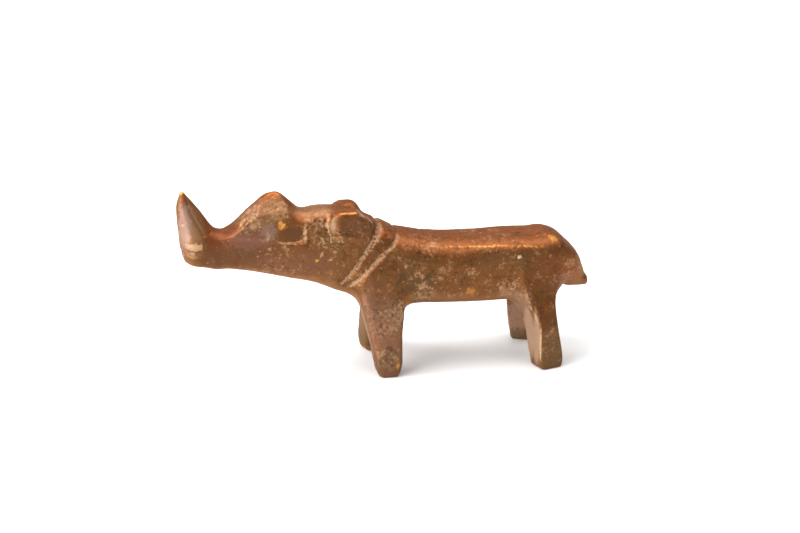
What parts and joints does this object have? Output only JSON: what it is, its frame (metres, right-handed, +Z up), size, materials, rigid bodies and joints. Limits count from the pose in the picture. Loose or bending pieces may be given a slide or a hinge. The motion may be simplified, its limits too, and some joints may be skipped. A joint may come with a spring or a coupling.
{
  "type": "rhinoceros figurine",
  "caption": "Small standing rhinoceros cast in one piece of brass, with an upturned nose horn, a pyramid-shaped brow horn, thumbed ears and two grooves round the neck.",
  "frame": {"origin": "on the surface that the four feet stand on, under the middle of the figure's length and width", "axes": "+X towards the tail, so the animal looks along -X; +Y to the animal's right side; +Z up"},
  "size_m": [0.0762, 0.0212, 0.0347],
  "materials": {
    "brass": "old cast brass with a warm brown patina, worn to a soft golden sheen along its edges, with pale dust in its pits and grooves"
  },
  "bodies": {
    "root": {"rhinoceros": "brass"}
  },
  "joints": []
}
